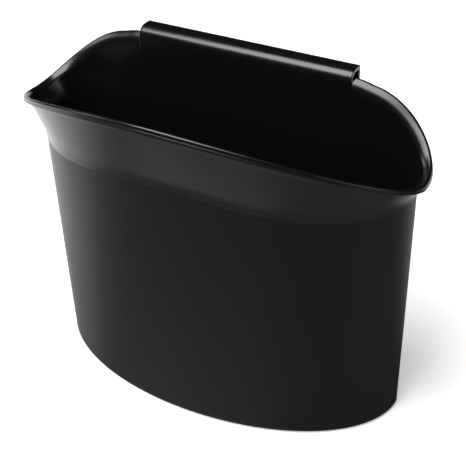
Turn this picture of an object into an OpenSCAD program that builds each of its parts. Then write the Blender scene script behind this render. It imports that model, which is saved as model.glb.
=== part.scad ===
// Hanging litter bin for a car, moulded in one piece.
// The bin has a flat back and a bowed front, a rim that dips to a pouring lip at each end,
// and a hanger that folds over the back, so that it hooks over a door pocket or a seat back.

/* [Base] */
// Width of the base
base_w = 186.5; // [150:0.5:230]
// Depth of the base, from the flat back to the middle of the bowed front
base_d = 65; // [50:1:90]
// Length of a rounded back corner along the width
corner_w = 20; // [12:1:30]
// Length of a rounded back corner along the depth
corner_d = 12; // [8:1:20]
// Roundness of the bowed front: 2 is half an ellipse
bow = 2; // [1.7:0.05:2.4]
// Radius of the edge under the walls
edge_r = 1.2; // [0.6:0.1:2.5]
// Height of the ring that the bin stands on
foot_h = 0.8; // [0.4:0.1:2]
// Width of the ring that the bin stands on
foot_w = 3; // [2:0.5:6]

/* [Walls] */
// Thickness of the walls
wall_t = 1.8; // [1.2:0.1:2.6]
// Thickness of the floor
floor_t = 2.2; // [1.4:0.1:4]
// Radius inside, between the walls and the floor
floor_r = 4; // [2:0.5:8]
// Draft of the two ends, in degrees
side_draft = 1.15; // [0.5:0.05:2]
// Draft of the bowed front, in degrees
front_draft = 1.8; // [0.5:0.1:3]
// Draft of the flat back, in degrees
back_draft = 0.7; // [0.3:0.1:1.5]

/* [Smooth band below the rim] */
// Height of the band's lower line at the two ends
band_side_z = 120.5; // [105:0.5:124]
// Height of the band's lower line at the middle of the front
band_front_z = 131.5; // [120:0.5:140]
// Height of the band's lower line along the flat back
band_back_z = 122; // [115:0.5:135]
// How sharply the line rises to the middle of the front
band_peak = 1.5; // [1:0.1:2]
// How far the band stands out of the textured wall
band_step = 0.3; // [0.2:0.05:0.6]
// Height over which the band stays straight before it flares
band_run = 3; // [1:0.5:6]

/* [Rim] */
// Width over the rim
rim_w = 207.5; // [204:0.5:250]
// How far the rim stands out at the front, from the plane of the base's back edge
rim_front = 80.4; // [78:0.1:110]
// How far the rim stands out at the back, from the same plane
rim_back = 9.5; // [8.5:0.5:13]
// Length of a rounded rim corner along the width
rim_corner_w = 38; // [24:1:44]
// Length of a rounded rim corner along the depth
rim_corner_d = 30; // [24:1:36]
// Roundness of the rim's corners: 2 is a quarter of an ellipse
rim_corner_bow = 2.4; // [1.8:0.1:3]
// Roundness of the rim's front: 2 is half an ellipse
rim_bow = 1.7; // [1.6:0.05:2.2]
// Height of the rim at the middle of the front
rim_front_z = 166; // [155:0.5:180]
// Height of the rim beside the hanger
rim_back_z = 161.5; // [155:0.5:180]
// Height of the two pouring lips, where the rim dips
lip_z = 134.5; // [132:0.5:145]
// How sharply the rim dips at the lips
lip_dip = 1.7; // [1.6:0.1:2.4]
// How far the rim's flange stands out of the wall
flange_out = 3.2; // [2.5:0.1:4.5]
// Height of the flange's outer face
flange_h = 3.6; // [2.4:0.1:4.5]
// Radius under the flange
flange_r = 1.2; // [0.8:0.1:2]
// Radius on the rim's crest
crest_r = 0.8; // [0.4:0.1:1]
// How far the rim falls from its crest to the inner wall
mouth_drop = 3.8; // [3:0.1:5]
// Radius between the rim's slope and the inner wall
mouth_r = 5; // [2:0.5:6]

/* [Hanger] */
// Width of the hanger
hanger_w = 112; // [60:1:130]
// Height of the hanger's top over the rim beside it
hanger_rise = 3.3; // [2:0.1:25]
// How far the hanger stands out behind the rim's edge
hanger_out = 5.8; // [4.5:0.1:10]
// Length of the leg behind, from the top
hanger_leg = 27; // [15:1:45]
// Thickness of the hanger
hanger_t = 1.8; // [1.4:0.1:2.4]
// Backward lean of the hanger's front wall, in degrees
hanger_lean = 8; // [0:1:16]
// Outer radius along the hanger's front edge
hanger_front_r = 5.2; // [3:0.1:6]
// Outer radius along the hanger's back edge
hanger_back_r = 1.3; // [0.5:0.1:2]
// How much wider the gap in the flange is at its edge than at the wall
rim_notch = 2.5; // [0:0.5:6]

/* [Hidden] */
plastic = "#202022";

// Points along half of an outline: half of the straight back, a corner, half of the front
n_back = 6;
n_corner = 9;
n_front = 24;
n_half = n_back + n_corner + n_front;
n_ring = 2 * n_half;
n_flare = 3;
n_lip_arc = 3;
n_hanger_arc = 6;

corner_edge = 0.4;
overlap = 0.6;
root_depth = 5;
under_fall = 0.3;
hanger_half = hanger_w / 2;
floor_z = foot_h + floor_t;
mouth_in = flange_out + wall_t;

// The hanger's front wall carries on from the bin's wall at the height where the flange would start
neck_drop = flange_h + under_fall + 1.1 * flange_r;
neck_z = rim_back_z - neck_drop;
wall_y = rim_back - flange_out;
hanger_z = rim_back_z + hanger_rise;
hanger_y = rim_back + hanger_out;
mid_y = (hanger_y - rim_front) / 2;

// A point of a D-shaped outline, where i runs from the middle of the back round to the front.
// a is half of the width, yb and yf the back and the front, cw, cd and cn the corner, and n the bow.
function outline_half(i, a, yb, yf, cw, cd, cn, n) =
    i == 0
        ? [0, yb]
    : i <= n_back
        ? [hanger_half + (a - cw - hanger_half) * (i - 1) / (n_back - 1), yb]
    : i <= n_back + n_corner
        ? let (u = 90 * (i - n_back) / n_corner)
          [a - cw + cw * pow(sin(u), 2 / cn), yb - cd + cd * pow(max(cos(u), 0), 2 / cn)]
        : let (t = 90 * (i - n_back - n_corner) / n_front)
          [a * pow(max(cos(t), 0), 2 / n), yb - cd - (yb - cd - yf) * pow(sin(t), 2 / n)];

// The other half is the mirror image
function outline(k, a, yb, yf, cw, cd, cn, n) =
    k <= n_half
        ? outline_half(k, a, yb, yf, cw, cd, cn, n)
        : let (p = outline_half(n_ring - k, a, yb, yf, cw, cd, cn, n))
          [-p[0], p[1]];

// A point of the drafted body at height z, pushed out by d
function body_pt(k, z, d) = outline(
    k,
    base_w / 2 + z * tan(side_draft) + d,
    z * tan(back_draft) + d,
    -base_d - z * tan(front_draft) - d,
    corner_w + d,
    corner_d + d,
    2,
    bow
);

// A point of the rim's edge, pulled in by d
function rim_pt(k, d) = outline(
    k,
    rim_w / 2 - d,
    rim_back - d,
    -rim_front + d,
    rim_corner_w - d,
    rim_corner_d - d,
    rim_corner_bow,
    rim_bow
);

// How far along the way from the hanger's end (0) to the lip (1) the half outline's point i is
rim_straight = rim_w / 2 - rim_corner_w - hanger_half;
rim_arc = PI / 4 * (rim_corner_w + rim_corner_d);
function way_to_lip(i) =
    let (
        straight_part = rim_straight * max(min(i, n_back) - 1, 0) / (n_back - 1),
        round_part = rim_arc * max(i - n_back, 0) / n_corner
    )
    (straight_part + round_part) / (rim_straight + rim_arc);

function half_index(k) = k <= n_half ? k : n_ring - k;
function front_angle(i) = 90 * (i - n_back - n_corner) / n_front;
function ease(w) = (1 + cos(180 * w)) / 2;

// Height of the rim's edge
function rim_z(k) =
    let (i = half_index(k))
    i <= n_back + n_corner
        ? lip_z + (rim_back_z - lip_z) * ease(way_to_lip(i))
        : lip_z + (rim_front_z - lip_z) * pow(sin(front_angle(i)), lip_dip);

// Height of the band's lower line
function band_z(k) =
    let (i = half_index(k))
    i <= n_back + n_corner
        ? band_side_z + (band_back_z - band_side_z) * ease(way_to_lip(i))
        : band_side_z + (band_front_z - band_side_z) * pow(ease(cos(front_angle(i))), band_peak);

function kink_z(k) = band_z(k) + band_run;
function with_z(p, z) = [p[0], p[1], z];

function unit(v) = v / norm(v);

// The corner q of a path from p to s, rounded to the radius r in n steps
function round_corner(p, q, s, r, n) =
    let (
        u = unit(p - q),
        v = unit(s - q),
        half = acos(u * v) / 2,
        c = q + unit(u + v) * r / sin(half),
        a = q + u * r / tan(half) - c,
        b = q + v * r / tan(half) - c,
        turn = atan2(a[0] * b[1] - a[1] * b[0], a * b)
    )
    [
        for (j = [0:n])
            let (g = turn * j / n)
            c + [a[0] * cos(g) - a[1] * sin(g), a[0] * sin(g) + a[1] * cos(g)]
    ];

// The rim's section, as the distance in from its edge and the height over its rounded crest
crest_angle = atan2(mouth_in, mouth_drop);
crest_up = crest_r * (1 / tan(crest_angle / 2) - 1);
lip_neck = [flange_out, -neck_drop];
lip_under = [flange_out, -flange_h - under_fall];
lip_corner = [0, -flange_h];
lip_crest = [0, crest_up];
lip_mouth = [mouth_in, crest_up - mouth_drop];
lip_inside = [mouth_in, crest_up - mouth_drop - 0.6 * mouth_r];
lip = concat(
    [lip_neck],
    round_corner(lip_neck, lip_under, lip_corner, flange_r, n_lip_arc),
    round_corner(lip_under, lip_corner, lip_crest, corner_edge, n_lip_arc),
    round_corner(lip_corner, lip_crest, lip_mouth, crest_r, n_lip_arc),
    round_corner(lip_crest, lip_mouth, lip_inside, mouth_r, n_lip_arc),
    [lip_inside]
);

// Section of the wall at point k, from the bottom edge up the outside, over the rim and down inside
function section(k) =
    let (
        zr = rim_z(k),
        zk = kink_z(k),
        kink_out = with_z(body_pt(k, zk, band_step), zk),
        neck_out = with_z(rim_pt(k, lip_neck[0]), zr + lip_neck[1]),
        kink_in = with_z(body_pt(k, zk, band_step - wall_t), zk),
        neck_in = with_z(rim_pt(k, lip_inside[0]), zr + lip_inside[1])
    )
    concat(
        [
            with_z(body_pt(k, foot_h, -edge_r), foot_h),
            with_z(body_pt(k, foot_h, -0.29 * edge_r), foot_h + 0.29 * edge_r),
            with_z(body_pt(k, foot_h + edge_r, 0), foot_h + edge_r),
            with_z(body_pt(k, band_z(k), 0), band_z(k)),
            with_z(body_pt(k, band_z(k), band_step), band_z(k) + 0.4 * band_step)
        ],
        [for (j = [0:n_flare - 1]) kink_out + (neck_out - kink_out) * j / n_flare],
        [for (p = lip) with_z(rim_pt(k, p[0]), zr + p[1])],
        [for (j = [1:n_flare]) neck_in + (kink_in - neck_in) * j / n_flare],
        [
            with_z(body_pt(k, floor_z + floor_r, -wall_t), floor_z + floor_r),
            with_z(body_pt(k, floor_z, -wall_t - 0.13 * floor_r), floor_z + 0.5 * floor_r),
            with_z(body_pt(k, floor_z, -wall_t - 0.5 * floor_r), floor_z + 0.13 * floor_r),
            with_z(body_pt(k, floor_z, -wall_t - floor_r), floor_z)
        ]
    );

// The bin: walls, floor and flared rim in one shell
module shell() {
    sections = [for (k = [0:n_ring - 1]) section(k)];
    m = len(sections[0]);
    middle = [0, -base_d / 2];
    points = concat(
        [for (j = [0:m - 1]) for (k = [0:n_ring - 1]) sections[k][j]],
        [with_z(middle, foot_h), with_z(middle, floor_z)]
    );
    skin = [
        for (j = [0:m - 2]) for (k = [0:n_ring - 1])
            let (a = j * n_ring + k, b = j * n_ring + (k + 1) % n_ring)
            each [[a, b, a + n_ring], [b, b + n_ring, a + n_ring]]
    ];
    top_ring = (m - 1) * n_ring;
    under_side = [for (k = [0:n_ring - 1]) [m * n_ring, (k + 1) % n_ring, k]];
    floor_top = [for (k = [0:n_ring - 1]) [m * n_ring + 1, top_ring + k, top_ring + (k + 1) % n_ring]];
    polyhedron(points, concat(skin, under_side, floor_top), convexity = 8);
}

// The low ring under the base, set in from the edge
module foot() {
    inset = edge_r + corner_edge;
    linear_extrude(foot_h + overlap)
        difference() {
            polygon([for (k = [0:n_ring - 1]) body_pt(k, 0, -inset)]);
            polygon([for (k = [0:n_ring - 1]) body_pt(k, 0, -inset - foot_w)]);
        }
}

// The gap in the rim where the hanger stands
module rim_gap() {
    inside_y = rim_back - mouth_in - mouth_r;
    outside_y = rim_back + overlap;
    translate([0, 0, neck_z])
        linear_extrude(hanger_z)
            polygon([
                [-hanger_half, inside_y],
                [-hanger_half, wall_y],
                [-hanger_half - rim_notch, outside_y],
                [hanger_half + rim_notch, outside_y],
                [hanger_half, wall_y],
                [hanger_half, inside_y]
            ]);
}

// The hanger: a folded strip that goes up from the back wall, over the panel and down behind it
module hanger() {
    proud = 0.1;
    sunk = 0.35;
    flare = (wall_y - neck_z * tan(back_draft)) / (neck_z - kink_z(0));
    root_z = neck_z - root_depth;
    in_y = wall_y - wall_t - proud;
    out_y = wall_y + proud;
    back_shift = root_depth * flare;
    slope = tan(hanger_lean);
    tip_z = hanger_z - hanger_leg;
    tip_r = 0.48 * hanger_t;
    under_z = hanger_z - hanger_t;
    front_top = [in_y + slope * (hanger_z - neck_z), hanger_z];
    back_top = [hanger_y, hanger_z];
    back_tip = [hanger_y, tip_z];
    leg_tip = [hanger_y - hanger_t, tip_z];
    leg_top = [hanger_y - hanger_t, under_z];
    front_under = [out_y + slope * (under_z - neck_z), under_z];
    in_root = [in_y - back_shift + proud + sunk, root_z];
    out_root = [out_y - back_shift - proud - sunk, root_z];
    strip = concat(
        [in_root, [in_y, neck_z]],
        round_corner([in_y, neck_z], front_top, back_top, hanger_front_r, n_hanger_arc),
        round_corner(front_top, back_top, back_tip, hanger_back_r, n_hanger_arc),
        round_corner(back_top, back_tip, leg_tip, tip_r, n_hanger_arc),
        round_corner(back_tip, leg_tip, leg_top, tip_r, n_hanger_arc),
        round_corner(leg_tip, leg_top, front_under, corner_edge, n_lip_arc),
        round_corner(leg_top, front_under, [out_y, neck_z], hanger_front_r - hanger_t, n_hanger_arc),
        [[out_y, neck_z], out_root]
    );
    translate([-hanger_half, 0, 0])
        rotate([90, 0, 90])
            linear_extrude(hanger_w)
                polygon(strip);
}

module bin() {
    color(plastic)
        translate([0, -mid_y, 0])
            union() {
                difference() {
                    shell();
                    rim_gap();
                }
                foot();
                hanger();
            }
}

bin();
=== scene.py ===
import math

import bmesh
import bpy
from mathutils import Matrix, Vector


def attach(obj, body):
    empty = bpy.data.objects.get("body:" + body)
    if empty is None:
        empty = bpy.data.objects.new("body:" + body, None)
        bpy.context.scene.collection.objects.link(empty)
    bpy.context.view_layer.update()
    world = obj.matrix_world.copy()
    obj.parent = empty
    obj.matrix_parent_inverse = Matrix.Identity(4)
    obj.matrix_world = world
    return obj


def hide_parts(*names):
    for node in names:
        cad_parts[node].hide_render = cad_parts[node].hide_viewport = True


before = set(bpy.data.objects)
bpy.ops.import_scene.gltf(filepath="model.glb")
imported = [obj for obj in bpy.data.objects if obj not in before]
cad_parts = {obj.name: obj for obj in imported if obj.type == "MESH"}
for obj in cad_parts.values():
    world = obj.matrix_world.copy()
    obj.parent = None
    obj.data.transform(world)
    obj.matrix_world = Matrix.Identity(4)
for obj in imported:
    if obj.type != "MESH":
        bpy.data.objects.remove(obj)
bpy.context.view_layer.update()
mm = 0.001

# the shell, in millimetres: walls, floor and flared rim in one moulding
shell = {
    "baseWidth": 186.5, "baseDepth": 65.0, "cornerWidth": 20.0, "cornerDepth": 12.0, "cornerRound": 2.0, "bow": 2.0,
    "sideDraft": 1.15, "frontDraft": 1.8, "backDraft": 0.7,
    "edgeRadius": 1.2, "footHeight": 0.8, "footWidth": 3.0, "footInset": 1.6, "footRound": 0.25, "recess": 3.0,
    "wall": 1.8, "floor": 2.2, "floorRadius": 4.0,
    "bandSide": 121.5, "bandFront": 131.5, "bandBack": 122.0, "bandPeak": 1.2,
    "bandStep": 0.3, "bandRound": 0.1, "bandLead": 0.6, "bandSlope": 0.1, "bandTail": 0.3,
    "bandRun": 3.0, "kinkLength": 2.6, "innerKink": 7.0, "innerRun": 8.0, "bendShare": 0.8,
    "rimWidth": 207.5, "rimFront": 80.4, "rimBack": 9.5, "rimCornerWidth": 38.0, "rimCornerDepth": 30.0,
    "rimCornerRound": 2.4, "rimBow": 1.7,
    "rimFrontHeight": 166.0, "rimBackHeight": 161.5, "lipHeight": 134.5, "lipDip": 1.7,
    "flangeOut": 3.2, "flangeHeight": 3.6, "underFall": 0.3, "neckDrop": 1.32, "flangeRadius": 1.2, "flangeEdge": 0.4,
    "flangeCore": (1.3, -2.0), "faceLean": 0.5,
    "partingDrop": 1.9, "partingStep": 0.1, "partingRise": 0.06, "partingRound": 0.03,
    "crestRadius": 1.0, "mouthDrop": 3.8, "mouthRadius": 7.0, "mouthReach": 5.0, "mouthLean": 0.5,
    "tipRise": 1.1, "tipBend": 3.0, "tipShallow": 0.3,
    "notch": 2.5, "notchRun": 6.0, "endRound": 0.35, "hiddenCore": 0.01, "hiddenEnd": 0.3,
}

# how finely the shell is cut: points along each stretch of half its outline, and rings up its section
cuts = {
    "hanger": 8, "end": 3, "back": 14, "backCrowding": 1.4, "corner": 24, "front": 76,
    "wall": 6, "flare": 8, "kink": 5, "arc": 5, "foot": 3, "band": 2, "floor": 6,
}
sharpAngle = 50  # degrees, above which an edge is shaded as a sharp one
mergeWithin = 0.002  # millimetres

# the hanger folded over the back, in millimetres
hanger = {
    "width": 112.0, "rise": 3.3, "out": 5.8, "leg": 27.0, "thick": 1.8, "lean": 8.0,
    "frontRadius": 5.2, "backRadius": 1.3, "innerRadius": 0.4,
    "neckRadius": 6.0, "tipRound": 0.48, "rootDepth": 12.0, "rootSink": 0.1, "proud": 0.04,
    "edgeRound": 0.25, "edgeSteps": 3, "shadeGuard": 1.0, "arcSteps": 8,
}


def slope(degrees):
    return math.tan(math.radians(degrees))


hangerBack = shell["rimBack"] + hanger["out"]
hangerTop = shell["rimBackHeight"] + hanger["rise"]
shiftBack = (shell["rimFront"] - hangerBack) / 2  # puts the middle of the whole bin at y = 0
halfHanger = hanger["width"] / 2
mouth = shell["flangeOut"] + shell["wall"]
floorTop = shell["footHeight"] + shell["floor"]


def ease(w):
    return (1 + math.cos(math.pi * w)) / 2


# a path through corners of (across, up, radius), each corner rounded with an arc
def filletPath(corners, steps):
    path = []
    for i, (x, z, radius) in enumerate(corners):
        here = Vector((x, z))
        if radius <= 0 or i in (0, len(corners) - 1):
            path.append(here)
            continue
        before = (Vector(corners[i - 1][:2]) - here).normalized()
        after = (Vector(corners[i + 1][:2]) - here).normalized()
        half = before.angle(after) / 2
        reach = radius / math.tan(half)
        centre = here + (before + after).normalized() * radius / math.sin(half)
        start, end = here + before * reach, here + after * reach
        turn = (start - centre).angle_signed(end - centre)
        for k in range(steps + 1):
            path.append(centre + Matrix.Rotation(-turn * k / steps, 2) @ (start - centre))
    return path


# a point of a D shape; plan holds half width, back, front, corner width, corner depth, corner power, bow power
def outline(mark, plan):
    zone, t = mark
    halfWidth, back, front, cornerWidth, cornerDepth, cornerPower, bowPower = plan
    if zone == "hanger":
        return halfHanger * t, back
    if zone == "back":
        return halfHanger + (halfWidth - cornerWidth - halfHanger) * t, back
    angle = math.radians(90 * t)
    c, s = max(math.cos(angle), 0.0), max(math.sin(angle), 0.0)
    if zone == "corner":
        return (halfWidth - cornerWidth + cornerWidth * s ** (2 / cornerPower),
                back - cornerDepth + cornerDepth * c ** (2 / cornerPower))
    return halfWidth * c ** (2 / bowPower), back - cornerDepth - (back - cornerDepth - front) * s ** (2 / bowPower)


# a point of the drafted wall, pushed out by push
def onWall(mark, push, height):
    x, y = outline(mark, (
        shell["baseWidth"] / 2 + height * slope(shell["sideDraft"]) + push,
        height * slope(shell["backDraft"]) + push,
        -shell["baseDepth"] - height * slope(shell["frontDraft"]) - push,
        shell["cornerWidth"] + push, shell["cornerDepth"] + push, shell["cornerRound"], shell["bow"]))
    return Vector((x, y, height))


# a point of the rim, pulled in from its edge
def onRim(mark, pull, height):
    x, y = outline(mark, (
        shell["rimWidth"] / 2 - pull, shell["rimBack"] - pull, -shell["rimFront"] + pull,
        shell["rimCornerWidth"] - pull, shell["rimCornerDepth"] - pull, shell["rimCornerRound"], shell["rimBow"]))
    return Vector((x, y, height))


# 0 at the hanger's end, 1 at the pouring lip
def wayToLip(mark):
    straight = shell["rimWidth"] / 2 - shell["rimCornerWidth"] - halfHanger
    bend = math.pi / 4 * (shell["rimCornerWidth"] + shell["rimCornerDepth"])
    gone = {"hanger": 0.0, "back": straight * mark[1], "corner": straight + bend * mark[1]}[mark[0]]
    return gone / (straight + bend)


def rimHeight(mark):
    low = shell["lipHeight"]
    if mark[0] == "front":
        return low + (shell["rimFrontHeight"] - low) * math.sin(math.radians(90 * mark[1])) ** shell["lipDip"]
    return low + (shell["rimBackHeight"] - low) * ease(wayToLip(mark))


def bandHeight(mark):
    low = shell["bandSide"]
    if mark[0] == "front":
        return low + (shell["bandFront"] - low) * ease(math.cos(math.radians(90 * mark[1]))) ** shell["bandPeak"]
    return low + (shell["bandBack"] - low) * ease(wayToLip(mark))


# how far the flange's lower edge rises towards the pouring lip
def edgeRise(mark):
    toTip = {"front": math.cos(math.radians(90 * mark[1])), "corner": mark[1]}.get(mark[0], 0.0)
    return shell["tipRise"] * toTip ** 2


# points of a smooth bend from first to last, drawn towards corner
def softBend(first, corner, last, steps):
    bend = []
    for k in range(steps + 1):
        t = k / steps
        bend.append(first * (1 - t) ** 2 + corner * 2 * t * (1 - t) + last * t ** 2)
    return bend


# the rim's section, as (pull from the edge, rise from the crest)
underHeight = -shell["flangeHeight"] - shell["underFall"]
face = Vector((-shell["faceLean"], -shell["flangeHeight"])).normalized()
inward = Vector((mouth - shell["faceLean"], -shell["mouthDrop"])).normalized()
crestUp = shell["crestRadius"] * (-(face + inward).normalized().y / math.sin(face.angle(inward) / 2) - 1)
parting = shell["faceLean"] * (shell["flangeHeight"] - shell["partingDrop"]) / (shell["flangeHeight"] + crestUp)
lipPath = filletPath([
    (shell["flangeOut"], underHeight - shell["neckDrop"], 0),
    (shell["flangeOut"], underHeight, shell["flangeRadius"]),
    (0, -shell["flangeHeight"], shell["flangeEdge"]),
    (parting, -shell["partingDrop"], shell["partingRound"]),
    (parting + shell["partingStep"], shell["partingRise"] - shell["partingDrop"], shell["partingRound"]),
    (shell["faceLean"] + shell["partingStep"], crestUp, shell["crestRadius"]),
    (mouth, crestUp - shell["mouthDrop"], shell["mouthRadius"]),
    (mouth, underHeight - shell["mouthRadius"], 0),
], cuts["arc"])
cornerCount = cuts["arc"] + 1  # points of each rounded corner
mouthStart = 5 * cornerCount + 1  # where the sixth corner, the mouth, starts

# how far the hollow under the flange and the mouth turn, measured from the vertical
hollowTurn = Vector((0, 1)).angle(Vector((-shell["flangeOut"], shell["underFall"])))
mouthTurn = Vector((0, -1)).angle(inward)

# the middle of the rim's plastic, up the wall and out into the flange
middlePull = mouth - shell["wall"] / 2
lipMiddle = [Vector((middlePull, 2 * underHeight)), Vector((middlePull, underHeight)), Vector(shell["flangeCore"])]


# the nearest point of that middle line
def lipCore(point):
    best = None
    for start, end in zip(lipMiddle, lipMiddle[1:]):
        share = min(max((point - start).dot(end - start) / (end - start).length_squared, 0), 1)
        spot = start.lerp(end, share)
        if best is None or (spot - point).length < (best - point).length:
            best = spot
    return best


# 1 at the pouring lip, fading out along the front and the corner
def tipShare(mark):
    return edgeRise(mark) / shell["tipRise"]


# an arc of the section through start, where its angle is origin, drawn from angle first to angle last
def lipArc(start, radius, origin, first, last):
    arc = []
    for i in range(cornerCount):
        angle = first + (last - first) * i / cuts["arc"]
        arc.append(start + radius * Vector((math.cos(angle) - math.cos(origin), math.sin(angle) - math.sin(origin))))
    return arc


# where the flare starts, outside and inside
def kinks(place):
    height = bandHeight(place) + shell["bandRun"]
    return onWall(place, shell["bandStep"], height), onWall(place, shell["bandStep"] - shell["wall"], height)


# the angle off the vertical at which the flare runs from a kink to the rim
def flareLean(kink, rim):
    return math.atan2((rim - kink).xy.length, rim.z - kink.z)


# the rim's section at one place: the hollow under the flange and the mouth meet the flare in its own direction
def lipAt(place):
    path, rim = [p.copy() for p in lipPath], rimHeight(place)
    kinkOut, kinkIn = kinks(place)
    for p in path[:2 * cornerCount + 1]:
        p.y += edgeRise(place)
    lean = flareLean(kinkOut, onRim(place, path[0].x, rim + path[0].y))
    path[1:cornerCount + 1] = lipArc(path[1], shell["flangeRadius"], 0, lean, hollowTurn)
    lean = min(flareLean(kinkIn, onRim(place, mouth, rim - shell["mouthReach"])), shell["mouthLean"])
    start = path[mouthStart]
    path[mouthStart:-1] = lipArc(start, shell["mouthRadius"], mouthTurn, mouthTurn, lean)
    path[-1] = path[-2].copy()
    for p in path[mouthStart:]:
        p.y = start.y + (p.y - start.y) * (1 - shell["tipShallow"] * tipShare(place))
    return path


# how the flange stops beside the hanger: (sideways move, how far its section shrinks)
def rimEnds(mark):
    radius = shell["endRound"]
    if mark[0] == "end":
        angle = math.radians(90 * mark[1])
        return radius * (1 - math.cos(angle)), radius * (1 - math.sin(angle))
    return radius, 0.0


# rings of (point, finish) from under the base, up the outside and over the band's step
def wallRings(place):
    foot, edge, recess = shell["footHeight"], shell["edgeRadius"], shell["footInset"] + shell["footWidth"]
    top, step, start, turn = bandHeight(place), shell["bandStep"], foot + 2 * edge, shell["bandRound"]
    base = filletPath([
        (-recess - shell["recess"], foot, 0), (-recess, foot, shell["footRound"]), (-recess, 0, shell["footRound"]),
        (-shell["footInset"], 0, shell["footRound"]), (-shell["footInset"], foot, shell["footRound"] / 2),
        (0, foot, edge), (0, start, 0)], cuts["foot"])
    rings = [(onWall(place, p.x, p.y), "satin" if p.y < foot - 0.01 else "grain") for p in base]
    for i in range(1, cuts["wall"]):
        rings.append((onWall(place, 0, start + (top - start) * i / cuts["wall"]), "grain"))
    band = filletPath([
        (0, top - shell["bandLead"], 0), (0, top, turn),
        (step, top + shell["bandSlope"], turn), (step, top + shell["bandTail"], 0)], cuts["band"])
    rough = top - shell["bandLead"] / 2
    return rings + [(onWall(place, p.x, p.y), "grain" if p.y < rough else "satin") for p in band]


# the points over the rim; behind the hanger they draw together inside its front wall
def rimPoints(mark, place, lipHere):
    sideways, shrink = rimEnds(mark)
    rim, first, last, points = rimHeight(place), lipHere[1], lipHere[-1], []
    for p in lipHere[1:]:
        if mark[0] == "hanger":
            hidden = p not in (first, last)
            q = Vector((middlePull + (p.x - middlePull) * shell["hiddenCore"], last.y)) if hidden else p
            point = onRim(place, q.x, rim + q.y)
            if hidden and mark[1] == 1:
                point.x = min(point.x, halfHanger - shell["hiddenEnd"])
        else:
            core = lipCore(p)
            q = p + (core - p).normalized() * min(shrink, (core - p).length)
            point = onRim(place, q.x, rim + q.y)
            along = point.x - halfHanger if point.y > 0 else shell["notchRun"]
            fade = max(0.0, 1 - along / shell["notchRun"]) ** 2
            point.x += max(0.0, 1 - q.x / shell["flangeOut"]) * shell["notch"] * fade + (sideways if along < 1 else 0)
        points.append(point)
    return points


# all rings of (point, finish) at one mark, from under the base, up the outside, over the rim and down to the floor
def section(mark):
    place = ("back", 0.0) if mark[0] == "end" else mark
    lipHere, (kinkOut, kinkIn) = lipAt(place), kinks(place)
    neckOut, neckIn = (onRim(place, p.x, rimHeight(place) + p.y) for p in (lipHere[1], lipHere[-1]))
    kink, step, wall = bandHeight(place) + shell["bandRun"], shell["bandStep"], shell["wall"]
    bend = shell["kinkLength"]
    share = min((bend + shell["tipBend"] * tipShare(place)) / (neckOut - kinkOut).length, shell["bendShare"])
    points = softBend(onWall(place, step, kink - bend), kinkOut, kinkOut.lerp(neckOut, share), cuts["kink"])
    points += [kinkOut.lerp(neckOut, share + (1 - share) * i / cuts["flare"]) for i in range(1, cuts["flare"])]
    points += rimPoints(mark, place, lipHere)
    bendIn = shell["innerKink"]
    share = min(bendIn / (neckIn - kinkIn).length, shell["bendShare"])
    points += [neckIn.lerp(kinkIn, (1 - share) * i / cuts["flare"]) for i in range(1, cuts["flare"])]
    points += softBend(kinkIn.lerp(neckIn, share), kinkIn, onWall(place, step - wall, kink - bendIn), cuts["kink"])
    inside = filletPath([
        (-wall, kink - bend - shell["innerRun"], 0), (-wall, floorTop, shell["floorRadius"]),
        (-wall - 2 * shell["floorRadius"], floorTop, 0)], cuts["floor"])
    points += [onWall(place, p.x, p.y) for p in inside]
    return wallRings(place) + [(p, "satin") for p in points]


# extrudes a closed ring of edges once and sets where its new points go
def extrudeRing(bm, ring, places):
    edges = [bm.edges.get((ring[k], ring[k - 1])) for k in range(len(ring))]
    made = bmesh.ops.extrude_edge_only(bm, edges=edges)["geom"]
    new = {v for v in made if isinstance(v, bmesh.types.BMVert)}
    faces = [f for f in made if isinstance(f, bmesh.types.BMFace)]
    following = []
    for v, place in zip(ring, places):
        w = next(e.other_vert(v) for e in v.link_edges if e.other_vert(v) in new)
        w.co = place
        following.append(w)
    return following, faces


def finishMesh(bm, name):
    bmesh.ops.remove_doubles(bm, verts=bm.verts[:], dist=mergeWithin * mm)
    bmesh.ops.recalc_face_normals(bm, faces=bm.faces[:])
    mesh = bpy.data.meshes.new(name)
    bm.to_mesh(mesh)
    bm.free()
    mesh.shade_smooth()
    mesh.set_sharp_from_angle(angle=math.radians(sharpAngle))
    piece = bpy.data.objects.new(name, mesh)
    bpy.context.scene.collection.objects.link(piece)
    return piece


def makeShell():
    marks = [("hanger", i / cuts["hanger"]) for i in range(cuts["hanger"] + 1)]
    marks += [("end", i / cuts["end"]) for i in range(cuts["end"])]
    marks += [("back", (i / cuts["back"]) ** cuts["backCrowding"]) for i in range(cuts["back"])]
    marks += [("corner", i / cuts["corner"]) for i in range(cuts["corner"])]
    marks += [("front", i / cuts["front"]) for i in range(cuts["front"] + 1)]
    half = [section(mark) for mark in marks]
    flip = Matrix.Diagonal((-1, 1, 1))
    sections = half + [[(flip @ p, surface) for p, surface in cut] for cut in half[-2:0:-1]]
    move = Vector((0, shiftBack, 0))
    bm = bmesh.new()
    ring = [bm.verts.new((cut[0][0] + move) * mm) for cut in sections]
    for k in range(len(ring)):
        bm.edges.new((ring[k], ring[k - 1]))
    bmesh.ops.contextual_create(bm, geom=ring)  # the flat underside
    for level in range(1, len(sections[0])):
        ring, faces = extrudeRing(bm, ring, [(cut[level][0] + move) * mm for cut in sections])
        for face in faces:
            face.material_index = 0 if sections[0][level][1] == "grain" else 1
    top = bmesh.ops.contextual_create(bm, geom=ring)["faces"]  # the floor
    for face in top:
        face.material_index = 1
    return finishMesh(bm, "binShell")


# how far back a straight wall from start to end is at a height
def acrossAt(start, end, height):
    return start.lerp(end, (height - start.z) / (end.z - start.z)).y


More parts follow.
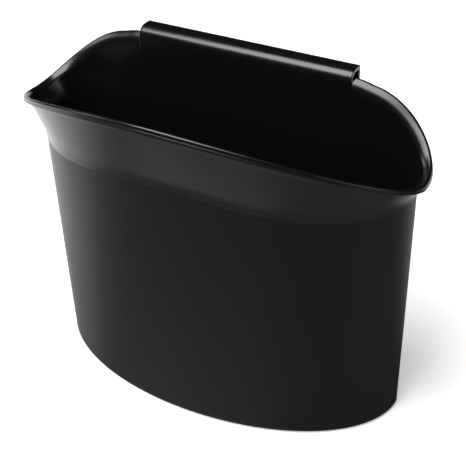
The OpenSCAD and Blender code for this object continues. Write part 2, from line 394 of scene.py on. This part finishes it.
def makeHanger():
    thick, proud, sink = hanger["thick"], hanger["proud"], hanger["rootSink"]
    neck = shell["rimBackHeight"] + lipPath[0].y
    root, under, tip = neck - hanger["rootDepth"], hangerTop - thick, hangerTop - hanger["leg"]
    # the shell's wall behind the mouth, outside and inside, which the hanger's front wall carries on
    middle = ("hanger", 0)
    lipHere, (kinkOut, kinkIn) = lipAt(middle), kinks(middle)
    rimOut, rimIn = (onRim(middle, p.x, shell["rimBackHeight"] + p.y) for p in (lipHere[1], lipHere[-1]))
    outRoot, outside = (acrossAt(kinkOut, rimOut, height) for height in (root, neck))
    inRoot, inside = (acrossAt(kinkIn, rimIn, height) for height in (root, neck))
    inside, outside = inside - proud, outside + proud
    lean, tipRound, bend = slope(hanger["lean"]), hanger["tipRound"] * thick, hanger["neckRadius"]
    path = filletPath([
        (inRoot + sink, root, 0), (inside, neck, bend),
        (inside + lean * (hangerTop - neck), hangerTop, hanger["frontRadius"]),
        (hangerBack, hangerTop, hanger["backRadius"]),
        (hangerBack, tip, tipRound), (hangerBack - thick, tip, tipRound),
        (hangerBack - thick, under, hanger["innerRadius"]),
        (outside + lean * (under - neck), under, hanger["frontRadius"] - thick),
        (outside, neck, bend), (outRoot - sink, root, 0)], hanger["arcSteps"])
    bm = bmesh.new()
    ends = [bm.verts.new(Vector((-halfHanger, p.x + shiftBack, p.y)) * mm) for p in path]
    face = bm.faces.new(ends)
    grown = bmesh.ops.extrude_face_region(bm, geom=[face], use_keep_orig=True)["geom"]
    across = [v for v in grown if isinstance(v, bmesh.types.BMVert)]
    bmesh.ops.translate(bm, verts=across, vec=(hanger["width"] * mm, 0, 0))
    bmesh.ops.recalc_face_normals(bm, faces=bm.faces[:])
    rims = [e for e in bm.edges if abs(e.verts[0].co.x - e.verts[1].co.x) < 1e-7]
    bmesh.ops.bevel(bm, geom=rims, offset=hanger["edgeRound"] * mm, offset_type="OFFSET",
                    segments=hanger["edgeSteps"], affect="EDGES", profile=0.5, material=-1, clamp_overlap=True)
    guard = halfHanger - hanger["shadeGuard"]
    for x in (-guard, guard):  # keeps the shading of the rounded ends out of the long faces
        everything = bm.verts[:] + bm.edges[:] + bm.faces[:]
        bmesh.ops.bisect_plane(bm, geom=everything, plane_co=(x * mm, 0, 0), plane_no=(1, 0, 0))
    return finishMesh(bm, "binHanger")


# black plastic: a fine spark-eroded grain on the walls, a satin finish on the band, the rim and the inside
finish = {
    "colour": (0.003, 0.003, 0.0032, 1), "ior": 1.49,
    "fineDetail": 3.0, "fineRoughness": 0.6, "swellScale": 260.0, "swellShare": 0.35,
    "driftScale": 22.0, "driftDetail": 4.0,
}

# the two finishes: size of the grain and its depth in millimetres, gloss and how much it varies
surfaces = {
    "grainPlastic": {"size": 0.42, "depth": 0.02, "roughness": 0.4, "spread": 0.08, "specular": 0.38},
    "satinPlastic": {"size": 1.1, "depth": 0.004, "roughness": 0.25, "spread": 0.06, "specular": 0.5},
}


# moulded surface: pits and swells of a given size, and a slow change of gloss
def makeGrainGroup():
    group = bpy.data.node_groups.new("mouldedGrain", "ShaderNodeTree")
    io = group.interface
    for name in ("Size", "Roughness", "Spread"):
        io.new_socket(name=name, in_out="INPUT", socket_type="NodeSocketFloat")
    for name in ("Height", "Roughness"):
        io.new_socket(name=name, in_out="OUTPUT", socket_type="NodeSocketFloat")
    nodes, links = group.nodes, group.links
    given, result = nodes.new("NodeGroupInput"), nodes.new("NodeGroupOutput")
    where = nodes.new("ShaderNodeTexCoord")
    over = nodes.new("ShaderNodeMath")
    over.operation = "DIVIDE"
    over.inputs[0].default_value = 1 / mm
    links.new(given.outputs["Size"], over.inputs[1])
    fine, swell, drift = (nodes.new("ShaderNodeTexNoise") for _ in range(3))
    for texture in (fine, swell, drift):
        links.new(where.outputs["Object"], texture.inputs["Vector"])
    links.new(over.outputs[0], fine.inputs["Scale"])
    fine.inputs["Detail"].default_value = finish["fineDetail"]
    fine.inputs["Roughness"].default_value = finish["fineRoughness"]
    swell.inputs["Scale"].default_value = finish["swellScale"]
    drift.inputs["Scale"].default_value = finish["driftScale"]
    drift.inputs["Detail"].default_value = finish["driftDetail"]
    joined = nodes.new("ShaderNodeMath")
    joined.operation = "MULTIPLY_ADD"
    joined.inputs[1].default_value = finish["swellShare"]
    links.new(swell.outputs["Fac"], joined.inputs[0])
    links.new(fine.outputs["Fac"], joined.inputs[2])
    links.new(joined.outputs[0], result.inputs["Height"])
    centred = nodes.new("ShaderNodeMath")
    centred.operation = "SUBTRACT"
    centred.inputs[1].default_value = 0.5
    links.new(drift.outputs["Fac"], centred.inputs[0])
    varied = nodes.new("ShaderNodeMath")
    varied.operation = "MULTIPLY_ADD"
    links.new(centred.outputs[0], varied.inputs[0])
    links.new(given.outputs["Spread"], varied.inputs[1])
    links.new(given.outputs["Roughness"], varied.inputs[2])
    links.new(varied.outputs[0], result.inputs["Roughness"])
    return group


def makePlastic(name, group):
    look = surfaces[name]
    material = bpy.data.materials.new(name)
    material.use_nodes = True
    nodes, links = material.node_tree.nodes, material.node_tree.links
    shader = nodes["Principled BSDF"]
    shader.inputs["Base Color"].default_value = finish["colour"]
    shader.inputs["IOR"].default_value = finish["ior"]
    shader.inputs["Specular IOR Level"].default_value = look["specular"]
    surface = nodes.new("ShaderNodeGroup")
    surface.node_tree = group
    for socket in ("Size", "Roughness", "Spread"):
        surface.inputs[socket].default_value = look[socket.lower()]
    bump = nodes.new("ShaderNodeBump")
    bump.inputs["Distance"].default_value = look["depth"] * mm
    links.new(surface.outputs["Height"], bump.inputs["Height"])
    links.new(bump.outputs["Normal"], shader.inputs["Normal"])
    links.new(surface.outputs["Roughness"], shader.inputs["Roughness"])
    return material


print("shell")
binShell = makeShell()
print("hanger")
binHanger = makeHanger()

print("materials")
grainGroup = makeGrainGroup()
grainPlastic, satinPlastic = (makePlastic(name, grainGroup) for name in ("grainPlastic", "satinPlastic"))
for piece, materials in ((binShell, (grainPlastic, satinPlastic)), (binHanger, (satinPlastic,))):
    for material in materials:
        piece.data.materials.append(material)
    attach(piece, "root")
    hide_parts("bin")

# the studio: a pale glossy floor, soft lamps overhead and at both sides, and white behind
studio = {
    "floorSize": 8.0, "floorGloss": 0.18, "worldLight": 0.015,
    # floorFront and floorBehind are the floor's painted shade and light, and mirrorGlow its painted reflection, none
    # of them seen by the camera
    "floorSeen": 0.95, "floorGlow": 0.45, "floorFront": 0.22, "floorBehind": 0.95, "mirrorGlow": 0.6,
    "paleWay": (-0.5, 1, 0), "darkTo": 0.0, "paleFrom": 0.18,
}


def makeFloor():
    bm = bmesh.new()
    bmesh.ops.create_grid(bm, x_segments=2, y_segments=2, size=studio["floorSize"] / 2)
    mesh = bpy.data.meshes.new("floor")
    bm.to_mesh(mesh)
    bm.free()
    floor = bpy.data.objects.new("floor", mesh)
    bpy.context.scene.collection.objects.link(floor)
    material = bpy.data.materials.new("paleFloor")
    material.use_nodes = True
    nodes, links = material.node_tree.nodes, material.node_tree.links
    shader = nodes["Principled BSDF"]
    shader.inputs["Roughness"].default_value = studio["floorGloss"]
    # painted shade and light in the floor's colour, for the light it bounces and the plastic reflects: dim in front,
    # as from a dark room, and pale behind on the left; the camera still sees the floor evenly pale
    where, along = nodes.new("ShaderNodeTexCoord"), nodes.new("ShaderNodeVectorMath")
    along.operation = "DOT_PRODUCT"
    along.inputs[1].default_value = studio["paleWay"]
    links.new(where.outputs["Object"], along.inputs[0])
    paintedBounceTone, tone, paintedReflection, plain = (nodes.new("ShaderNodeMapRange") for _ in range(4))
    seen = nodes.new("ShaderNodeLightPath")
    ends = (paintedBounceTone, studio["floorFront"], studio["floorBehind"]), (paintedReflection, 0.0, studio["mirrorGlow"])
    for node, low, high in ends:
        links.new(along.outputs["Value"], node.inputs["Value"])
        node.inputs["From Min"].default_value = studio["darkTo"]
        node.inputs["From Max"].default_value = studio["paleFrom"]
        node.inputs["To Min"].default_value = low
        node.inputs["To Max"].default_value = high
    links.new(seen.outputs["Is Camera Ray"], tone.inputs["Value"])
    links.new(paintedBounceTone.outputs["Result"], tone.inputs["To Min"])
    tone.inputs["To Max"].default_value = studio["floorSeen"]
    links.new(tone.outputs["Result"], shader.inputs["Base Color"])
    # the camera sees an evenly lighter floor, so that only the soft shadow stays; the plastic's gloss also sees the
    # floor glow, pale behind on the left, as a painted reflection
    links.new(seen.outputs["Is Camera Ray"], plain.inputs["Value"])
    plain.inputs["To Max"].default_value = studio["floorGlow"]
    glow = nodes.new("ShaderNodeMath")
    glow.operation = "MULTIPLY_ADD"
    links.new(seen.outputs["Is Glossy Ray"], glow.inputs[0])
    links.new(paintedReflection.outputs["Result"], glow.inputs[1])
    links.new(plain.outputs["Result"], glow.inputs[2])
    shader.inputs["Emission Color"].default_value = (1, 1, 1, 1)
    links.new(glow.outputs[0], shader.inputs["Emission Strength"])
    mesh.materials.append(material)
    return floor


# softboxes: place, width and height in metres, and brightness
lamps = {
    "keyLamp": ((-0.22, -0.46, 1.15), (1.0, 0.9), 9.2),
    "leftLamp": ((-1.2, -0.25, 0.65), (0.5, 0.4), 4.0),
    "rightLamp": ((1.2, -0.3, 0.45), (0.8, 0.6), 1.6),
}
lampAim = Vector((0, 0, 0.1))


# a softbox aimed at the bin, with the same brightness all over
def makeLamp(name, place, size, brightness):
    data = bpy.data.lights.new(name, "AREA")
    data.shape = "RECTANGLE"
    data.size, data.size_y = size
    data.energy = math.pi * size[0] * size[1] * brightness
    lamp = bpy.data.objects.new(name, data)
    bpy.context.scene.collection.objects.link(lamp)
    lamp.location = place
    lamp.rotation_euler = (lampAim - Vector(place)).to_track_quat("-Z", "Y").to_euler()
    return lamp


def makeWorld():
    world = bpy.data.worlds.new("studio")
    bpy.context.scene.world = world
    world.use_nodes = True
    nodes, links = world.node_tree.nodes, world.node_tree.links
    background = nodes["Background"]
    background.inputs["Color"].default_value = (1, 1, 1, 1)
    seen = nodes.new("ShaderNodeLightPath")
    strength = nodes.new("ShaderNodeMapRange")
    links.new(seen.outputs["Is Camera Ray"], strength.inputs["Value"])
    strength.inputs["To Min"].default_value = studio["worldLight"]
    strength.inputs["To Max"].default_value = 1.0
    links.new(strength.outputs["Result"], background.inputs["Strength"])


# the camera, from the photograph's perspective, in millimetres before the bin's shift back
view = {
    "place": (242.5, -409.07, 385.67),
    "forward": (-0.42842, 0.71104, -0.55757), "right": (0.86596, 0.49929, -0.02866),
    "focal": 1136.9, "frameWidth": 466, "sensor": 36.0,
}


def makeCamera():
    data = bpy.data.cameras.new("camera")
    data.sensor_width = view["sensor"]
    data.lens = view["focal"] / view["frameWidth"] * view["sensor"]
    camera = bpy.data.objects.new("camera", data)
    bpy.context.scene.collection.objects.link(camera)
    forward = Vector(view["forward"]).normalized()
    right = Vector(view["right"])
    right = (right - forward * right.dot(forward)).normalized()
    up = right.cross(forward)
    turn = Matrix((right, up, -forward)).transposed().to_4x4()
    place = (Vector(view["place"]) + Vector((0, shiftBack, 0))) * mm
    camera.matrix_world = Matrix.Translation(place) @ turn
    bpy.context.scene.camera = camera


print("studio")
makeFloor()
makeWorld()
for name, (place, size, brightness) in lamps.items():
    makeLamp(name, place, size, brightness)
makeCamera()
bpy.context.scene.view_settings.view_transform = "Standard"
